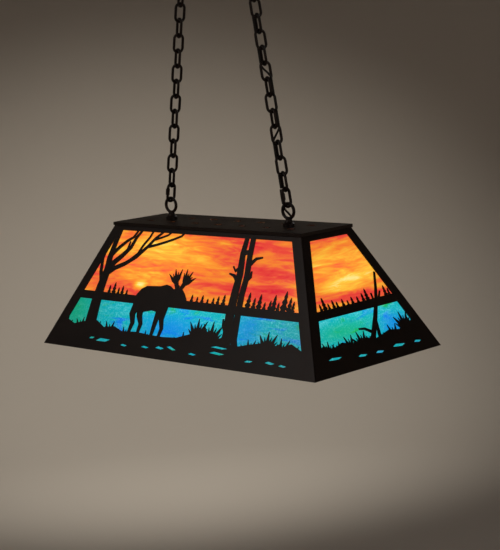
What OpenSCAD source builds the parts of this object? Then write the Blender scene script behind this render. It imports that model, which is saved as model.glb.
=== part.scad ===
// Long pyramid-shaped pool table lamp: a pierced steel shade backed with art glass, hung by two chains
// from an oblong ceiling canopy. Millimetres. The origin is on the ceiling, above the middle of the shade.

/* [Shade] */
// Length of the shade at its bottom rim
shade_len = 660; // [600:5:720]
// Depth of the shade at its bottom rim
shade_dep = 332; // [300:2:360]
// Length of the shade where the panels reach the top plate
crown_len = 446; // [400:2:460]
// Depth of the shade where the panels reach the top plate
crown_dep = 124.4; // [120:0.2:140]
// Height of the shade from rim to the top of its plate
shade_h = 217.5; // [200:0.5:230]
// Thickness of the sheet steel
sheet_t = 1.5; // [1:0.1:2]
// Thickness of the art glass
glass_t = 3; // [2:0.5:4]
// Length of the top plate over its lips
plate_len = 455; // [450:1:470]
// Depth of the top plate over its lips
plate_dep = 134; // [132:1:144]
// Height of the plate's folded lip
lip_h = 5.8; // [4:0.1:6]

/* [Hanging] */
// Distance from the ceiling to the bottom rim
drop = 715; // [700:1:730]
// Distance from the middle to each lower loop
low_loop_x = 142.5; // [140:0.5:145]
// Slope of each chain from the vertical
chain_tilt = 8.8; // [8.5:0.05:9]
// Wire thickness of the chain links
link_wire = 4.8; // [4.4:0.1:5]
// Outside width of a chain link
link_w = 21.4; // [20.8:0.1:22]
// Distance from one contact to the next along the chain
link_pitch = 27; // [26.9:0.05:27.1]
// Number of links in each chain
link_count = 14; // [12:1:14]
// Turn of the left chain about its own length
left_twist = -20; // [-30:1:0]
// Turn of the right chain about its own length
right_twist = -25; // [-30:1:-15]
// Outside diameter of the supply cord
cord_d = 3.8; // [3:0.1:4]

/* [Canopy] */
// Length of the ceiling canopy
canopy_len = 230; // [210:1:250]
// Depth of the ceiling canopy
canopy_dep = 115; // [100:1:130]
// Height of the ceiling canopy
canopy_h = 24.8; // [22:0.1:26]
// Spacing of the outlet box screws
box_spacing = 88.9; // [84:0.1:90]

/* [Lamps] */
// Distance between lamp holders
lamp_pitch = 150; // [130:1:160]
// Diameter of a bulb
bulb_d = 60; // [50:1:66]

/* [Hidden] */
$fn = 48;

gap = 0.1;            // sheet to sheet
rim_z = -drop;
plate_z = rim_z + shade_h;
steel = "#1C1412";
glass_sky = "#FF8A3A";
glass_water = "#18A8B8";

// ---- places on the four slopes: 0 front, 1 right end, 2 back, 3 left end ----
function foot(i) = (i % 2 == 0 ? shade_dep : shade_len) / 2;
function inset(i) = foot(i) - (i % 2 == 0 ? crown_dep : crown_len) / 2;
function half_foot(i) = (i % 2 == 0 ? shade_len : shade_dep) / 2;
function half_crown(i) = (i % 2 == 0 ? crown_len : crown_dep) / 2;
function slant(i) = norm([inset(i), shade_h]);
function pitch(i) = atan2(shade_h, inset(i));
// half the width of a slope at distance v up it, and the angle of its sloping edge
function half_at(i, v) = half_foot(i) - (half_foot(i) - half_crown(i)) * v / slant(i);
function edge_lean(i) = atan2(half_foot(i) - half_crown(i), slant(i));

module on_side(i) {
    rotate([0, 0, 90 * i]) translate([0, -foot(i), rim_z]) rotate([pitch(i), 0, 0]) children();
}

// a trapezium between two heights on slope i, pulled in from the sloping edges
module band(i, v0, v1, pull) {
    polygon([[-half_at(i, v0) + pull, v0], [half_at(i, v0) - pull, v0],
        [half_at(i, v1) - pull, v1], [-half_at(i, v1) + pull, v1]]);
}

// ---- pierced picture: generic lakeside shapes, each in its slope's own (across, up) frame ----
water_low = 38;
water_high = 93;
shore_high = 108;
window_top = 226;
border = 21;

function unit(v) = v / norm(v);
function side_of(p, k) = let (d = unit(p[min(k + 1, len(p) - 1)] - p[max(k - 1, 0)])) [-d[1], d[0]];

// a limb that tapers from width w0 to width w1 along the points p
module limb(p, w0, w1) {
    n = len(p) - 1;
    half = [for (k = [0:n]) (w0 + (w1 - w0) * k / n) / 2];
    polygon(concat([for (k = [0:n]) p[k] + half[k] * side_of(p, k)],
        [for (k = [n:-1:0]) p[k] - half[k] * side_of(p, k)]));
}

// a fir tree of height h whose foot stands at u on the shore
module fir(u, h) {
    tiers = h > 20 ? 4 : 3;
    foot_v = shore_high - 4;
    function half_w(k) = h * 0.26 * (1 - k / tiers) + 0.8;
    right = [for (k = [0:tiers - 1]) each [[half_w(k), h * k / tiers],
        [half_w(k) * 0.42, h * (k + 0.6) / tiers]]];
    left = [for (k = [len(right) - 1:-1:0]) [-right[k][0], right[k][1]]];
    translate([u, foot_v]) polygon(concat(right, [[0, h]], left));
}

// a tuft of pointed leaves of length r, fanned between angles a0 and a1
module tuft(u, v, r, leaves, a0, a1) {
    for (k = [0:leaves - 1]) {
        reach = r * (k % 2 == 0 ? 1 : 0.78);
        translate([u, v]) rotate(a0 + (a1 - a0) * k / (leaves - 1))
            polygon([[0, -2], [reach * 0.4, -reach * 0.12], [reach, 0], [reach * 0.4, reach * 0.12], [0, 2]]);
    }
}

// a glimpse of water through the bank, a slit with pointed ends
module ripple(u, v, l, h, turn = 0) {
    translate([u, v]) rotate(turn)
        polygon([[-l / 2, 0], [-l / 5, h * 0.6], [l / 6, h * 0.35], [l / 2, h * 0.1],
            [l / 5, -h * 0.4], [-l / 8, -h * 0.25]]);
}

// an antlered deer standing at the water's edge, facing right
module standing_deer() {
    // body and neck
    polygon([[-124, 98], [-121, 110], [-112, 121], [-100, 127], [-84, 128], [-66, 129], [-52, 133], [-42, 131],
        [-33, 126], [-24, 124], [-20, 112], [-27, 104], [-36, 96], [-44, 87], [-56, 82], [-74, 84],
        [-92, 80], [-102, 76], [-112, 78], [-122, 86]]);
    // head
    polygon([[-32, 126], [-22, 131], [-14, 129], [-4, 120], [3, 111], [6, 103], [2, 98], [-5, 98],
        [-12, 104], [-22, 108], [-30, 112]]);
    // ear
    polygon([[-24, 128], [-30, 137], [-20, 133]]);
    // hind legs, then fore legs
    limb([[-114, 92], [-119, 74], [-113, 58], [-118, 34]], 19, 5.5);
    limb([[-102, 90], [-100, 72], [-92, 58], [-95, 34]], 17, 5.5);
    limb([[-54, 92], [-57, 66], [-60, 34]], 15, 6);
    limb([[-42, 94], [-44, 70], [-38, 54], [-42, 34]], 14, 5.5);
    // two antlers, each a broad palm that ends in a fan of tines
    limb([[-24, 124], [-32, 140]], 7, 10);
    tuft(-31, 135, 29, 5, 76, 142);
    limb([[-18, 125], [-10, 139]], 7, 10);
    tuft(-12, 134, 30, 6, 32, 104);
}

// a bare tree at the left whose limbs sweep across the sky
module bare_tree() {
    limb([[-217, -2], [-221, 45], [-221, 90], [-219, 118], [-214, 150]], 32, 17);
    limb([[-240, 4], [-229, 30], [-222, 60]], 10, 8);
    limb([[-214, 146], [-216, 172], [-212, 200], [-205, 230]], 16, 9);
    limb([[-219, 120], [-230, 146], [-234, 170], [-230, 190]], 9, 5);
    limb([[-215, 146], [-202, 164], [-184, 179], [-168, 195], [-160, 214], [-148, 230]], 13, 4.5);
    limb([[-213, 178], [-197, 194], [-182, 206], [-168, 214], [-158, 230]], 8, 3.6);
    limb([[-214, 142], [-196, 154], [-172, 164], [-148, 178], [-126, 198], [-112, 214], [-92, 230]], 10, 4);
    limb([[-166, 168], [-146, 184], [-138, 200], [-126, 216], [-120, 230]], 5.5, 3.6);
    limb([[-128, 197], [-104, 203], [-84, 209], [-66, 215], [-48, 222], [-39, 232]], 5, 3.4);
    limb([[-112, 212], [-96, 217], [-82, 222], [-72, 230]], 4, 3.2);
    limb([[-186, 177], [-176, 190], [-173, 206]], 4.5, 3);
}

// two broken trunks that lean together, with stubs of branches
module broken_trunks() {
    limb([[118, 26], [119, 60], [113, 92], [112, 130], [112, 165], [107, 200], [108, 230]], 24, 9);
    limb([[146, 26], [136, 50], [131, 92], [128, 128], [129, 160], [124, 196], [122, 230]], 14, 11);
    limb([[116, 146], [100, 160], [88, 163]], 9, 3);
    limb([[112, 178], [100, 168], [93, 176]], 7, 3);
    limb([[128, 180], [140, 192], [154, 195]], 8, 3);
    limb([[126, 148], [138, 160], [137, 170]], 7, 3);
    limb([[120, 100], [124, 105]], 22, 22);
    limb([[118, 198], [116, 206]], 18, 18);
    limb([[113, 60], [104, 72], [101, 84]], 6, 3);
}

// the near bank, under a line through the points top
module bank(top) {
    polygon(concat([[top[0][0], 20]], top, [[top[len(top) - 1][0], 20]]));
}

module front_picture() {
    bank([[-310, 42], [-284, 52], [-262, 44], [-240, 50], [-205, 55], [-182, 44], [-156, 48], [-134, 41],
        [-96, 43], [-66, 41], [-30, 40], [4, 42], [30, 50], [62, 60], [92, 55], [112, 44], [150, 41],
        [176, 47], [214, 54], [238, 46], [262, 56], [290, 45]]);
    bare_tree();
    standing_deer();
    broken_trunks();
    for (f = [[-194, 18], [-182, 24], [-170, 15], [-160, 19], [-148, 13], [16, 16], [29, 13], [41, 17],
            [54, 12], [67, 15], [78, 18], [91, 22], [147, 30], [160, 22], [172, 29], [184, 16], [196, 20],
            [204, 30], [214, 18], [226, 38], [238, 28], [246, 22]]) fir(f[0], f[1]);
    // leafy bushes along the near bank
    tuft(-286, 30, 26, 5, 50, 110);
    tuft(-244, 28, 30, 6, 45, 140);
    tuft(-168, 26, 32, 7, 35, 150);
    tuft(-197, 30, 24, 5, 40, 130);
    tuft(-128, 28, 22, 5, 50, 150);
    tuft(-74, 28, 20, 5, 40, 140);
    tuft(20, 24, 30, 5, 50, 140);
    tuft(50, 40, 40, 8, 35, 140);
    tuft(82, 34, 44, 9, 30, 150);
    tuft(176, 26, 30, 7, 40, 140);
    tuft(212, 34, 38, 8, 35, 140);
    tuft(243, 26, 38, 8, 40, 140);
    tuft(272, 26, 28, 6, 50, 120);
}

module front_ripples() {
    for (r = [[-176, 20, 38, 7, 6], [-30, 20, 22, 5, 0], [-2, 22, 24, 5, -10], [106, 24, 36, 5, 0],
            [108, 34, 40, 4, 0], [-206, 22, 16, 4, 10], [226, 20, 22, 5, 0], [-66, 18, 20, 4, 0],
            [180, 18, 20, 4, 8], [254, 18, 18, 4, 0], [-120, 16, 18, 4, 0], [50, 17, 20, 4, 0]])
        ripple(r[0], r[1], r[2], r[3], r[4]);
}

// a bank of reeds and a leaning snag on the ends of the shade
module end_picture() {
    bank([[-145, 40], [-116, 52], [-96, 44], [-70, 50], [-44, 42], [-12, 48], [14, 42], [52, 50], [80, 46],
        [98, 60], [118, 54], [145, 42]]);
    limb([[-2, 30], [14, 52], [34, 78], [52, 104], [64, 126], [76, 152]], 12, 4);
    limb([[34, 78], [46, 96], [46, 118]], 7, 3);
    limb([[52, 104], [62, 108], [70, 118]], 6, 3);
    limb([[14, 52], [-4, 62], [-18, 64]], 6, 3);
    limb([[26, 24], [26, 48], [32, 74]], 10, 5);
    for (f = [[-86, 16], [-76, 26], [-66, 14], [-54, 18], [-45, 14], [-30, 16], [-18, 12], [-6, 16],
            [8, 14], [22, 18], [33, 24], [82, 22], [91, 16]]) fir(f[0], f[1]);
    tuft(-108, 30, 28, 6, 50, 120);
    tuft(-82, 28, 26, 6, 40, 140);
    tuft(-52, 28, 32, 7, 40, 140);
    tuft(-22, 26, 36, 7, 40, 130);
    tuft(4, 28, 26, 6, 40, 140);
    tuft(62, 26, 34, 7, 35, 140);
    tuft(98, 38, 38, 8, 40, 140);
    tuft(116, 30, 34, 7, 50, 125);
}

module end_ripples() {
    for (r = [[-100, 27, 34, 5, 0], [62, 20, 34, 6, 0], [-34, 20, 24, 5, 0], [10, 18, 22, 5, 0],
            [112, 18, 20, 5, 0]])
        ripple(r[0], r[1], r[2], r[3], r[4]);
}

// the same with its sloping sides bowed out a little, in short straight steps
bow = 0.3;
bow_steps = 6;
module bowed_band(i, v0, v1, pull) {
    right = [for (k = [0:bow_steps]) let (v = v0 + (v1 - v0) * k / bow_steps)
        [half_at(i, v) - pull - bow * sin(180 * k / bow_steps), v]];
    left = [for (k = [bow_steps:-1:0]) [-right[k][0], right[k][1]]];
    polygon(concat(right, left));
}

module windows(i) {
    band(i, shore_high, window_top, border);
    bowed_band(i, water_low, water_high, border + 2);
}

// ---- studs, nuts and clips behind the panels ----
stud_r = 1.5;
stud_l = 9;
glass_w = -sheet_t - 0.2;            // front face of the glass
clip_t = 1;
sky_v = [103, 232];
water_v = [11, 98];
seam_v = (sky_v[0] + water_v[1]) / 2;
glass_pull = 15;                      // glass edge in from the slope's edge
flange_w = 11;                        // width of a corner angle's flange
nut_h = 2.4;

function clip_us(i) = i % 2 == 0 ? [-185, -62, 62, 185] : [-42, 42];
// [across, up, kind] of every clip on slope i: kind 1 at the top, 0 at the seam, -1 at the bottom
function clips(i) = [for (u = clip_us(i)) each [[u, sky_v[1] + 3, 1], [u * 1.2, seam_v, 0],
    [u * 1.35, water_v[0] - 3.5, -1]]];
function corner_vs(i) = i % 2 == 0 ? [22, 120, 210] : [36, 134, 196];
function corner_studs(i) = [for (v = corner_vs(i)) for (m = [-1, 1])
    [m * (half_at(i, v) - 7.5 / cos(edge_lean(i))), v]];

module hex_nut(r, bore, h) {
    difference() {
        cylinder(r = r, h = h, $fn = 6);
        translate([0, 0, -1]) cylinder(r = bore, h = h + 2, $fn = 32);
    }
}

// ---- panels ----
tab_l = 40;
tab_reach = 14.3;                     // crown edge to the tab's inner end
tab_in = 7;                           // stud to the crown edge
leg_low = 233;                        // foot of a bracket's leg, up the slope
function tab_us(i) = i % 2 == 0 ? [-150, 0, 150] : [0];
function corner_pull(i) = i % 2 == 0 ? 0.15 : 1.9;
function panel_top_of(i) = slant(i) * (shade_h - sheet_t - 0.2) / shade_h;

module place_tabs(i) {
    for (u = tab_us(i)) rotate([0, 0, 90 * i])
        translate([u, -(i % 2 == 0 ? crown_dep : crown_len) / 2, plate_z - sheet_t]) children();
}

module panel(i) {
    on_side(i) translate([0, 0, -sheet_t]) linear_extrude(sheet_t) difference() {
        band(i, 0, panel_top_of(i), corner_pull(i));
        difference() {
            windows(i);
            if (i % 2 == 0) front_picture(); else end_picture();
        }
        if (i % 2 == 0) front_ripples(); else end_ripples();
    }
    // welded studs for the clips and the corner angles
    on_side(i) for (c = clips(i)) translate([c[0], c[1], -sheet_t - stud_l])
        cylinder(r = stud_r, h = stud_l + 0.5, $fn = 24);
    on_side(i) for (c = corner_studs(i)) translate([c[0], c[1], -sheet_t - stud_l + 3])
        cylinder(r = stud_r, h = stud_l - 2.5, $fn = 24);
}

// folded brackets behind the panels' top edges, bolted up under the plate; the section is
// [in from the crown edge, up from the plate's underside] for a point v up slope i and w out of it
function in_section(i, v, w) = [(v - slant(i)) * cos(pitch(i)) - w * sin(pitch(i)),
    (v - slant(i)) * sin(pitch(i)) + w * cos(pitch(i)) + sheet_t];
function v_at_height(i, w, z) = slant(i) + (z - sheet_t - w * cos(pitch(i))) / sin(pitch(i));

module plate_bracket(i) {
    outer = -sheet_t - gap;
    inner = outer - sheet_t;
    difference() {
        place_tabs(i) translate([-tab_l / 2, 0, 0]) rotate([90, 0, 90]) linear_extrude(tab_l)
            polygon([in_section(i, leg_low, outer), in_section(i, v_at_height(i, outer, -gap), outer),
                [tab_reach, -gap], [tab_reach, -gap - sheet_t],
                in_section(i, v_at_height(i, inner, -gap - sheet_t), inner), in_section(i, leg_low, inner)]);
        place_tabs(i) translate([0, tab_in, -gap - sheet_t - 1]) cylinder(r = 2.2, h = sheet_t + 2);
    }
}

module plate_brackets() { color("silver") for (i = [0:3]) plate_bracket(i); }

module front_panel() { color(steel) panel(0); }
module right_panel() { color(steel) panel(1); }
module back_panel() { color(steel) panel(2); }
module left_panel() { color(steel) panel(3); }

// ---- glass ----
module glass(i, v) {
    on_side(i) translate([0, 0, glass_w - glass_t]) linear_extrude(glass_t) band(i, v[0], v[1], glass_pull);
}

module front_sky_glass() { color(glass_sky) glass(0, sky_v); }
module front_water_glass() { color(glass_water) glass(0, water_v); }
module right_sky_glass() { color(glass_sky) glass(1, sky_v); }
module right_water_glass() { color(glass_water) glass(1, water_v); }
module back_sky_glass() { color(glass_sky) glass(2, sky_v); }
module back_water_glass() { color(glass_water) glass(2, water_v); }
module left_sky_glass() { color(glass_sky) glass(3, sky_v); }
module left_water_glass() { color(glass_water) glass(3, water_v); }

// a clip's plate lies on the glass; edge clips have a foot that reaches the panel
clip_back = glass_w - glass_t - 0.1;
module clip(kind) {
    difference() {
        union() {
            if (kind == 0) translate([-7, -10, clip_back - clip_t]) cube([14, 20, clip_t]);
            else {
                translate([-7, kind > 0 ? -8 : -3, clip_back - clip_t]) cube([14, 11, clip_t]);
                translate([-7, kind > 0 ? 2 : -3, clip_back - clip_t])
                    cube([14, 1, -clip_back - sheet_t + clip_t - gap]);
            }
        }
        translate([0, 0, clip_back - clip_t - 1]) cylinder(r = stud_r + 0.2, h = 4, $fn = 24);
    }
}

module glass_clips() {
    color("silver") for (i = [0:3]) on_side(i) for (c = clips(i)) translate([c[0], c[1], 0]) clip(c[2]);
}

module clip_nuts() {
    color("silver") for (i = [0:3]) on_side(i) for (c = clips(i))
        translate([c[0], c[1], clip_back - clip_t - 0.1 - nut_h]) hex_nut(3.2, stud_r + 0.08, nut_h);
}

// ---- corner angles ----
angle_w = -sheet_t - gap;
module flange(i, m) {
    on_side(i) translate([0, 0, angle_w - sheet_t]) linear_extrude(sheet_t) {
        far = [for (v = [6, 230]) [m * (half_at(i, v) - (flange_w + 2) / cos(edge_lean(i))), v]];
        near = [for (v = [230, 6]) [m * (half_at(i, v) - 1.75 / cos(edge_lean(i))), v]];
        polygon(concat(far, near));
    }
}

module corner_angle(i) {
    difference() {
        union() {
            flange(i, 1);
            flange((i + 1) % 4, -1);
        }
        for (s = [[i, 1], [(i + 1) % 4, -1]]) on_side(s[0]) for (c = corner_studs(s[0]))
            if (c[0] * s[1] > 0) translate([c[0], c[1], angle_w - sheet_t - 1])
                cylinder(r = stud_r + 0.2, h = sheet_t + 2, $fn = 24);
    }
}

module corner_angles() { color(steel) for (i = [0:3]) corner_angle(i); }

module corner_nuts() {
    color("silver") for (i = [0:3]) on_side(i) for (c = corner_studs(i))
        translate([c[0], c[1], angle_w - sheet_t - gap - nut_h]) hex_nut(3.2, stud_r + 0.08, nut_h);
}

// ---- top plate ----
vent_xs = [-171, -114, -57, 0, 57, 114, 171];
vent_y = 25;
stem_r = 4.8;

module vent() {
    linear_extrude(sheet_t + 2) polygon([[-9.5, -4], [1.5, -4], [1.5, -6.5], [9.5, 0], [1.5, 6.5], [1.5, 4],
        [-9.5, 4]]);
}

hanger_x = 195;
module top_plate() {
    color(steel) {
        difference() {
            translate([-plate_len / 2, -plate_dep / 2, plate_z - lip_h]) cube([plate_len, plate_dep, lip_h]);
            translate([-plate_len / 2 + sheet_t, -plate_dep / 2 + sheet_t, plate_z - lip_h - 1])
                cube([plate_len - 2 * sheet_t, plate_dep - 2 * sheet_t, lip_h + 1 - sheet_t]);
            for (x = vent_xs) for (m = [-1, 1]) translate([x, m * vent_y, plate_z - sheet_t - 1]) vent();
            for (m = [-1, 1]) translate([m * low_loop_x, 0, plate_z - sheet_t - 1])
                cylinder(r = stem_r + 0.3, h = sheet_t + 2);
        }
        // welded studs for the panels' tabs and the socket bar's hangers
        for (i = [0:3]) place_tabs(i) translate([0, tab_in, -9]) cylinder(r = 2, h = 9.5, $fn = 32);
        for (m = [-1, 1]) translate([m * hanger_x, 0, plate_z - sheet_t - 9]) cylinder(r = 2, h = 9.5, $fn = 32);
    }
}

module plate_nuts() {
    color("silver") for (i = [0:3]) place_tabs(i)
        translate([0, tab_in, -gap * 2 - sheet_t - 3]) hex_nut(4, 2.08, 3);
}

// ---- cast loops: a ring on a flared bell, with a threaded stem ----
ring_r = 12.75;
ring_wire = 5.5;
bell_r = 10.5;
bell_h = 13;
neck_r = 5.4;
ring_up = 26.3;
stem_l = 16;

module cast_loop() {
    rotate_extrude() difference() {
        square([bell_r, bell_h]);
        translate([neck_r + 9, bell_h]) circle(r = 9);
    }
    translate([0, 0, -stem_l]) cylinder(r = stem_r, h = stem_l + 1);
    translate([0, 0, ring_up]) rotate([90, 0, 0]) rotate_extrude() translate([ring_r, 0]) circle(d = ring_wire, $fn = 32);
}

// wireway: up the stem and out of the back of the neck
module wireway() {
    translate([0, 0, -stem_l - 1]) cylinder(r = 2.4, h = stem_l + 6, $fn = 32);
    translate([0, 0, 4.5]) sphere(r = 3.2, $fn = 32);
    translate([0, 0, 4.5]) rotate([-45, 0, 0]) cylinder(r = 2.95, h = 14, $fn = 32);
}

module lower_loop_left() { color(steel) translate([-low_loop_x, 0, plate_z + gap]) cast_loop(); }
module lower_loop_right() {
    color(steel) translate([low_loop_x, 0, plate_z + gap]) difference() {
        cast_loop();
        wireway();
    }
}

module lower_loop_washers() {
    color("silver") for (m = [-1, 1]) translate([m * low_loop_x, 0, plate_z - sheet_t - gap - 1.5])
        difference() {
            cylinder(r = 10, h = 1.5);
            translate([0, 0, -1]) cylinder(r = stem_r + 0.2, h = 4);
        }
}

module lower_loop_nuts() {
    color("silver") for (m = [-1, 1]) translate([m * low_loop_x, 0, plate_z - sheet_t - 2 * gap - 1.5 - 5])
        hex_nut(9, stem_r + 0.08, 5);
}

// ---- chains ----
slack = 0.3;
low_contact_z = plate_z + gap + ring_up + ring_r - ring_wire / 2 - slack / 2;
chain_l = (link_count + 1) * link_pitch;
top_x = low_loop_x - chain_l * sin(chain_tilt);
top_z = low_contact_z + chain_l * cos(chain_tilt);
function twist(m) = m < 0 ? left_twist : right_twist;

module on_chain(m) {
    translate([m * top_x, 0, top_z]) rotate([0, -m * chain_tilt, 0]) children();
}

// an oval of round wire in the XZ plane, centred, with inside length inner
module oval(inner, outer_w, wire) {
    r = (outer_w - wire) / 2;
    straight = inner + wire - 2 * r;
    for (m = [0, 180]) rotate([0, m, 0]) translate([0, 0, straight / 2]) rotate([90, 0, 0])
        rotate_extrude(angle = 180) translate([r, 0]) circle(d = wire, $fn = 32);
    for (m = [-1, 1]) translate([m * r, 0, -straight / 2]) cylinder(d = wire, h = straight, $fn = 32);
}

module chain_link(m, k) {
    on_chain(m) rotate([0, 0, twist(m) + (k % 2 == 1 ? 90 : 0)]) translate([0, 0, -(k - 0.5) * link_pitch])
        oval(link_pitch + slack, link_w, link_wire);
}

module upper_link_left() { color(steel) chain_link(-1, 1); }
module upper_link_right() { color(steel) chain_link(1, 1); }
module chain_links_left() { color(steel) for (k = [2:link_count]) chain_link(-1, k); }
module chain_links_right() { color(steel) for (k = [2:link_count]) chain_link(1, k); }

// ---- quick links: an oval with a gap in one leg, closed by a threaded sleeve ----
quick_wire = 5;
quick_w = 22;
quick_gap = 4;
quick_gap_up = 5.2;                   // middle of the gap above the middle of the link
sleeve_d = 7.2;
sleeve_l = 11;
sleeve_up = 1.9;                      // middle of the sleeve above the middle of the link
quick_leg = (quick_w - quick_wire) / 2;

module on_quick(m) {
    on_chain(m) translate([0, 0, -(link_count + 0.5) * link_pitch]) rotate([0, 0, 90]) children();
}

module quick_link(m) {
    on_quick(m) difference() {
        oval(link_pitch + slack, quick_w, quick_wire);
        translate([-quick_leg, 0, quick_gap_up - quick_gap / 2]) cylinder(r = 4, h = quick_gap);
    }
}

module quick_sleeve(m) {
    on_quick(m) translate([-quick_leg, 0, sleeve_up - sleeve_l / 2]) difference() {
        cylinder(d = sleeve_d, h = sleeve_l, $fn = 32);
        translate([0, 0, -1]) cylinder(d = quick_wire + 0.16, h = sleeve_l + 2, $fn = 32);
    }
}

module quick_link_left() { color(steel) quick_link(-1); }
module quick_link_right() { color(steel) quick_link(1); }
module quick_link_sleeve_left() { color(steel) quick_sleeve(-1); }
module quick_link_sleeve_right() { color(steel) quick_sleeve(1); }

// ---- canopy ----
module upper_loop(m) {
    translate([m * top_x, 0, -canopy_h - gap]) rotate([180, 0, 0]) cast_loop();
}
module upper_loop_left() { color(steel) upper_loop(-1); }
module upper_loop_right() { color(steel) upper_loop(1); }

module stadium(l, w) {
    square([l - w, w], center = true);
    for (m = [-1, 1]) translate([m * (l - w) / 2, 0]) circle(d = w, $fn = 96);
}

canopy_t = 1.2;
post_x = 36;
bush_x = top_x - 14;
bush_y = -14;
module canopy() {
    color(steel) difference() {
        translate([0, 0, -canopy_h]) linear_extrude(canopy_h) stadium(canopy_len, canopy_dep);
        translate([0, 0, -canopy_h + canopy_t]) linear_extrude(canopy_h)
            stadium(canopy_len - 2 * canopy_t, canopy_dep - 2 * canopy_t);
        for (m = [-1, 1]) {
            translate([m * top_x, 0, -canopy_h - 1]) cylinder(r = stem_r + 0.3, h = 4);
            translate([m * post_x, 0, -canopy_h - 1]) cylinder(r = 2.3, h = 4);
        }
        translate([bush_x, bush_y, -canopy_h - 1]) cylinder(r = 4.5, h = 4);
    }
}

strap_l = 108;
strap_w = 22;
strap_t = 1.6;
module mounting_strap() {
    color("silver") difference() {
        translate([-strap_l / 2, -strap_w / 2, -strap_t]) cube([strap_l, strap_w, strap_t]);
        for (m = [-1, 1]) {
            translate([m * box_spacing / 2, 0, -strap_t - 1]) cylinder(r = 2.4, h = strap_t + 2);
            translate([m * post_x, 0, -strap_t - 1]) cylinder(r = 2.06, h = strap_t + 2);
        }
        translate([15, 0, -strap_t - 1]) cylinder(r = 2.06, h = strap_t + 2);
    }
}

module canopy_studs() {
    color("silver") for (m = [-1, 1]) translate([m * post_x, 0, -canopy_h - 5]) cylinder(r = 2, h = canopy_h + 4.5);
}

module cap_nuts() {
    color(steel) for (m = [-1, 1]) translate([m * post_x, 0, -canopy_h - gap]) rotate([180, 0, 0]) difference() {
        union() {
            cylinder(r = 4.6, h = 4, $fn = 6);
            translate([0, 0, 4]) sphere(r = 3.8, $fn = 32);
        }
        translate([0, 0, -1]) cylinder(r = 2.08, h = 6.4, $fn = 32);
    }
}

module ground_screw() {
    color("green") translate([15, 0, 0]) {
        translate([0, 0, -9]) cylinder(r = 2, h = 8.5);
        difference() {
            translate([0, 0, -strap_t - gap - 2.2]) cylinder(r = 4.2, h = 2.2);
            translate([0, 0, -strap_t - gap - 2.2]) rotate([0, 0, 30]) cube([9, 1, 1.4], center = true);
        }
    }
}

// twist-on connector: a tapered cap with a skirt
module wire_nut() {
    difference() {
        union() {
            cylinder(r1 = 6, r2 = 4.2, h = 17, $fn = 32);
            cylinder(r = 6.6, h = 5, $fn = 32);
        }
        translate([0, 0, -1]) cylinder(r = 3.4, h = 12, $fn = 32);
    }
}

module canopy_wire_nuts() {
    color("orange") for (k = [-1, 0, 1]) translate([30 * k - 10, 32, -15]) rotate([0, 90, 0]) wire_nut();
}

module upper_loop_nuts() {
    color("silver") for (m = [-1, 1]) translate([m * top_x, 0, -canopy_h + canopy_t + gap]) hex_nut(9, stem_r + 0.08, 5);
}

module cord_bushing() {
    color("black") translate([bush_x, bush_y, -canopy_h]) difference() {
        union() {
            translate([0, 0, -5]) cylinder(r1 = 4, r2 = 6.2, h = 5 - gap, $fn = 32);
            translate([0, 0, -gap]) cylinder(r = 4.3, h = canopy_t + 2 * gap, $fn = 32);
            translate([0, 0, canopy_t + gap]) cylinder(r = 6, h = 2, $fn = 32);
        }
        translate([0, 0, -6]) cylinder(d = cord_d + 0.5, h = 12, $fn = 32);
    }
}

// ---- lamps ----
bar_z = rim_z + 178;
bar_l = 410;
bar_w = 26;
bar_t = 2;
lamp_xs = [-lamp_pitch, 0, lamp_pitch];
socket_l = 52;
socket_r = 19;
module socket_bar() {
    color("silver") difference() {
        translate([-bar_l / 2, -bar_w / 2, bar_z]) cube([bar_l, bar_w, bar_t]);
        for (x = lamp_xs) translate([x, 0, bar_z - 1]) cylinder(r = stem_r + 0.3, h = bar_t + 2);
        for (m = [-1, 1]) translate([m * hanger_x, 0, bar_z - 1]) cylinder(r = 2.2, h = bar_t + 2);
        for (x = [-110, -40, 40, 110]) translate([x, 0, bar_z - 1]) cylinder(r = 3, h = bar_t + 2);
    }
}

// bent strips that hold the bar under the top plate
hanger_top = plate_z - sheet_t - gap;
module hanger(m) {
    translate([m * hanger_x, 0, 0]) difference() {
        union() {
            translate([-7, -6, hanger_top - 1.5]) cube([14, 12, 1.5]);
            translate([-7, -6, bar_z + bar_t + gap]) cube([14, 12, 1.5]);
            translate([m > 0 ? 7 : -8.5, -6, bar_z + bar_t + gap])
                cube([1.5, 12, hanger_top - bar_z - bar_t - gap]);
        }
        for (z = [hanger_top - 2.5, bar_z + bar_t]) translate([0, 0, z]) cylinder(r = 2.2, h = 3.5);
    }
}
module bar_hangers() { color("silver") for (m = [-1, 1]) hanger(m); }

module hanger_nuts() {
    color("silver") for (m = [-1, 1]) {
        translate([m * hanger_x, 0, hanger_top - 1.5 - gap - 3]) hex_nut(4, 2.08, 3);
        translate([m * hanger_x, 0, bar_z - gap - 3]) cylinder(r = 3.8, h = 3, $fn = 6);
        translate([m * hanger_x, 0, bar_z - 0.5]) cylinder(r = 2, h = 8);
    }
}

module socket(x) {
    translate([x, 0, bar_z - gap]) rotate([180, 0, 0]) {
        difference() {
            union() {
                cylinder(r = 15, h = 12);
                translate([0, 0, 6]) cylinder(r = socket_r, h = socket_l - 6);
            }
            translate([0, 0, 20]) cylinder(r = 13.5, h = socket_l);
            translate([0, 0, 10]) cylinder(r = 1.5, h = 11);
        }
        translate([0, 0, -14]) cylinder(r = stem_r, h = 15);
    }
}
module socket_left() { color("ivory") socket(-lamp_pitch); }
module socket_middle() { color("ivory") socket(0); }
module socket_right() { color("ivory") socket(lamp_pitch); }

module socket_nuts() {
    color("silver") for (x = lamp_xs) translate([x, 0, bar_z + bar_t + gap]) hex_nut(8, stem_r + 0.08, 4);
}

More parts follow.
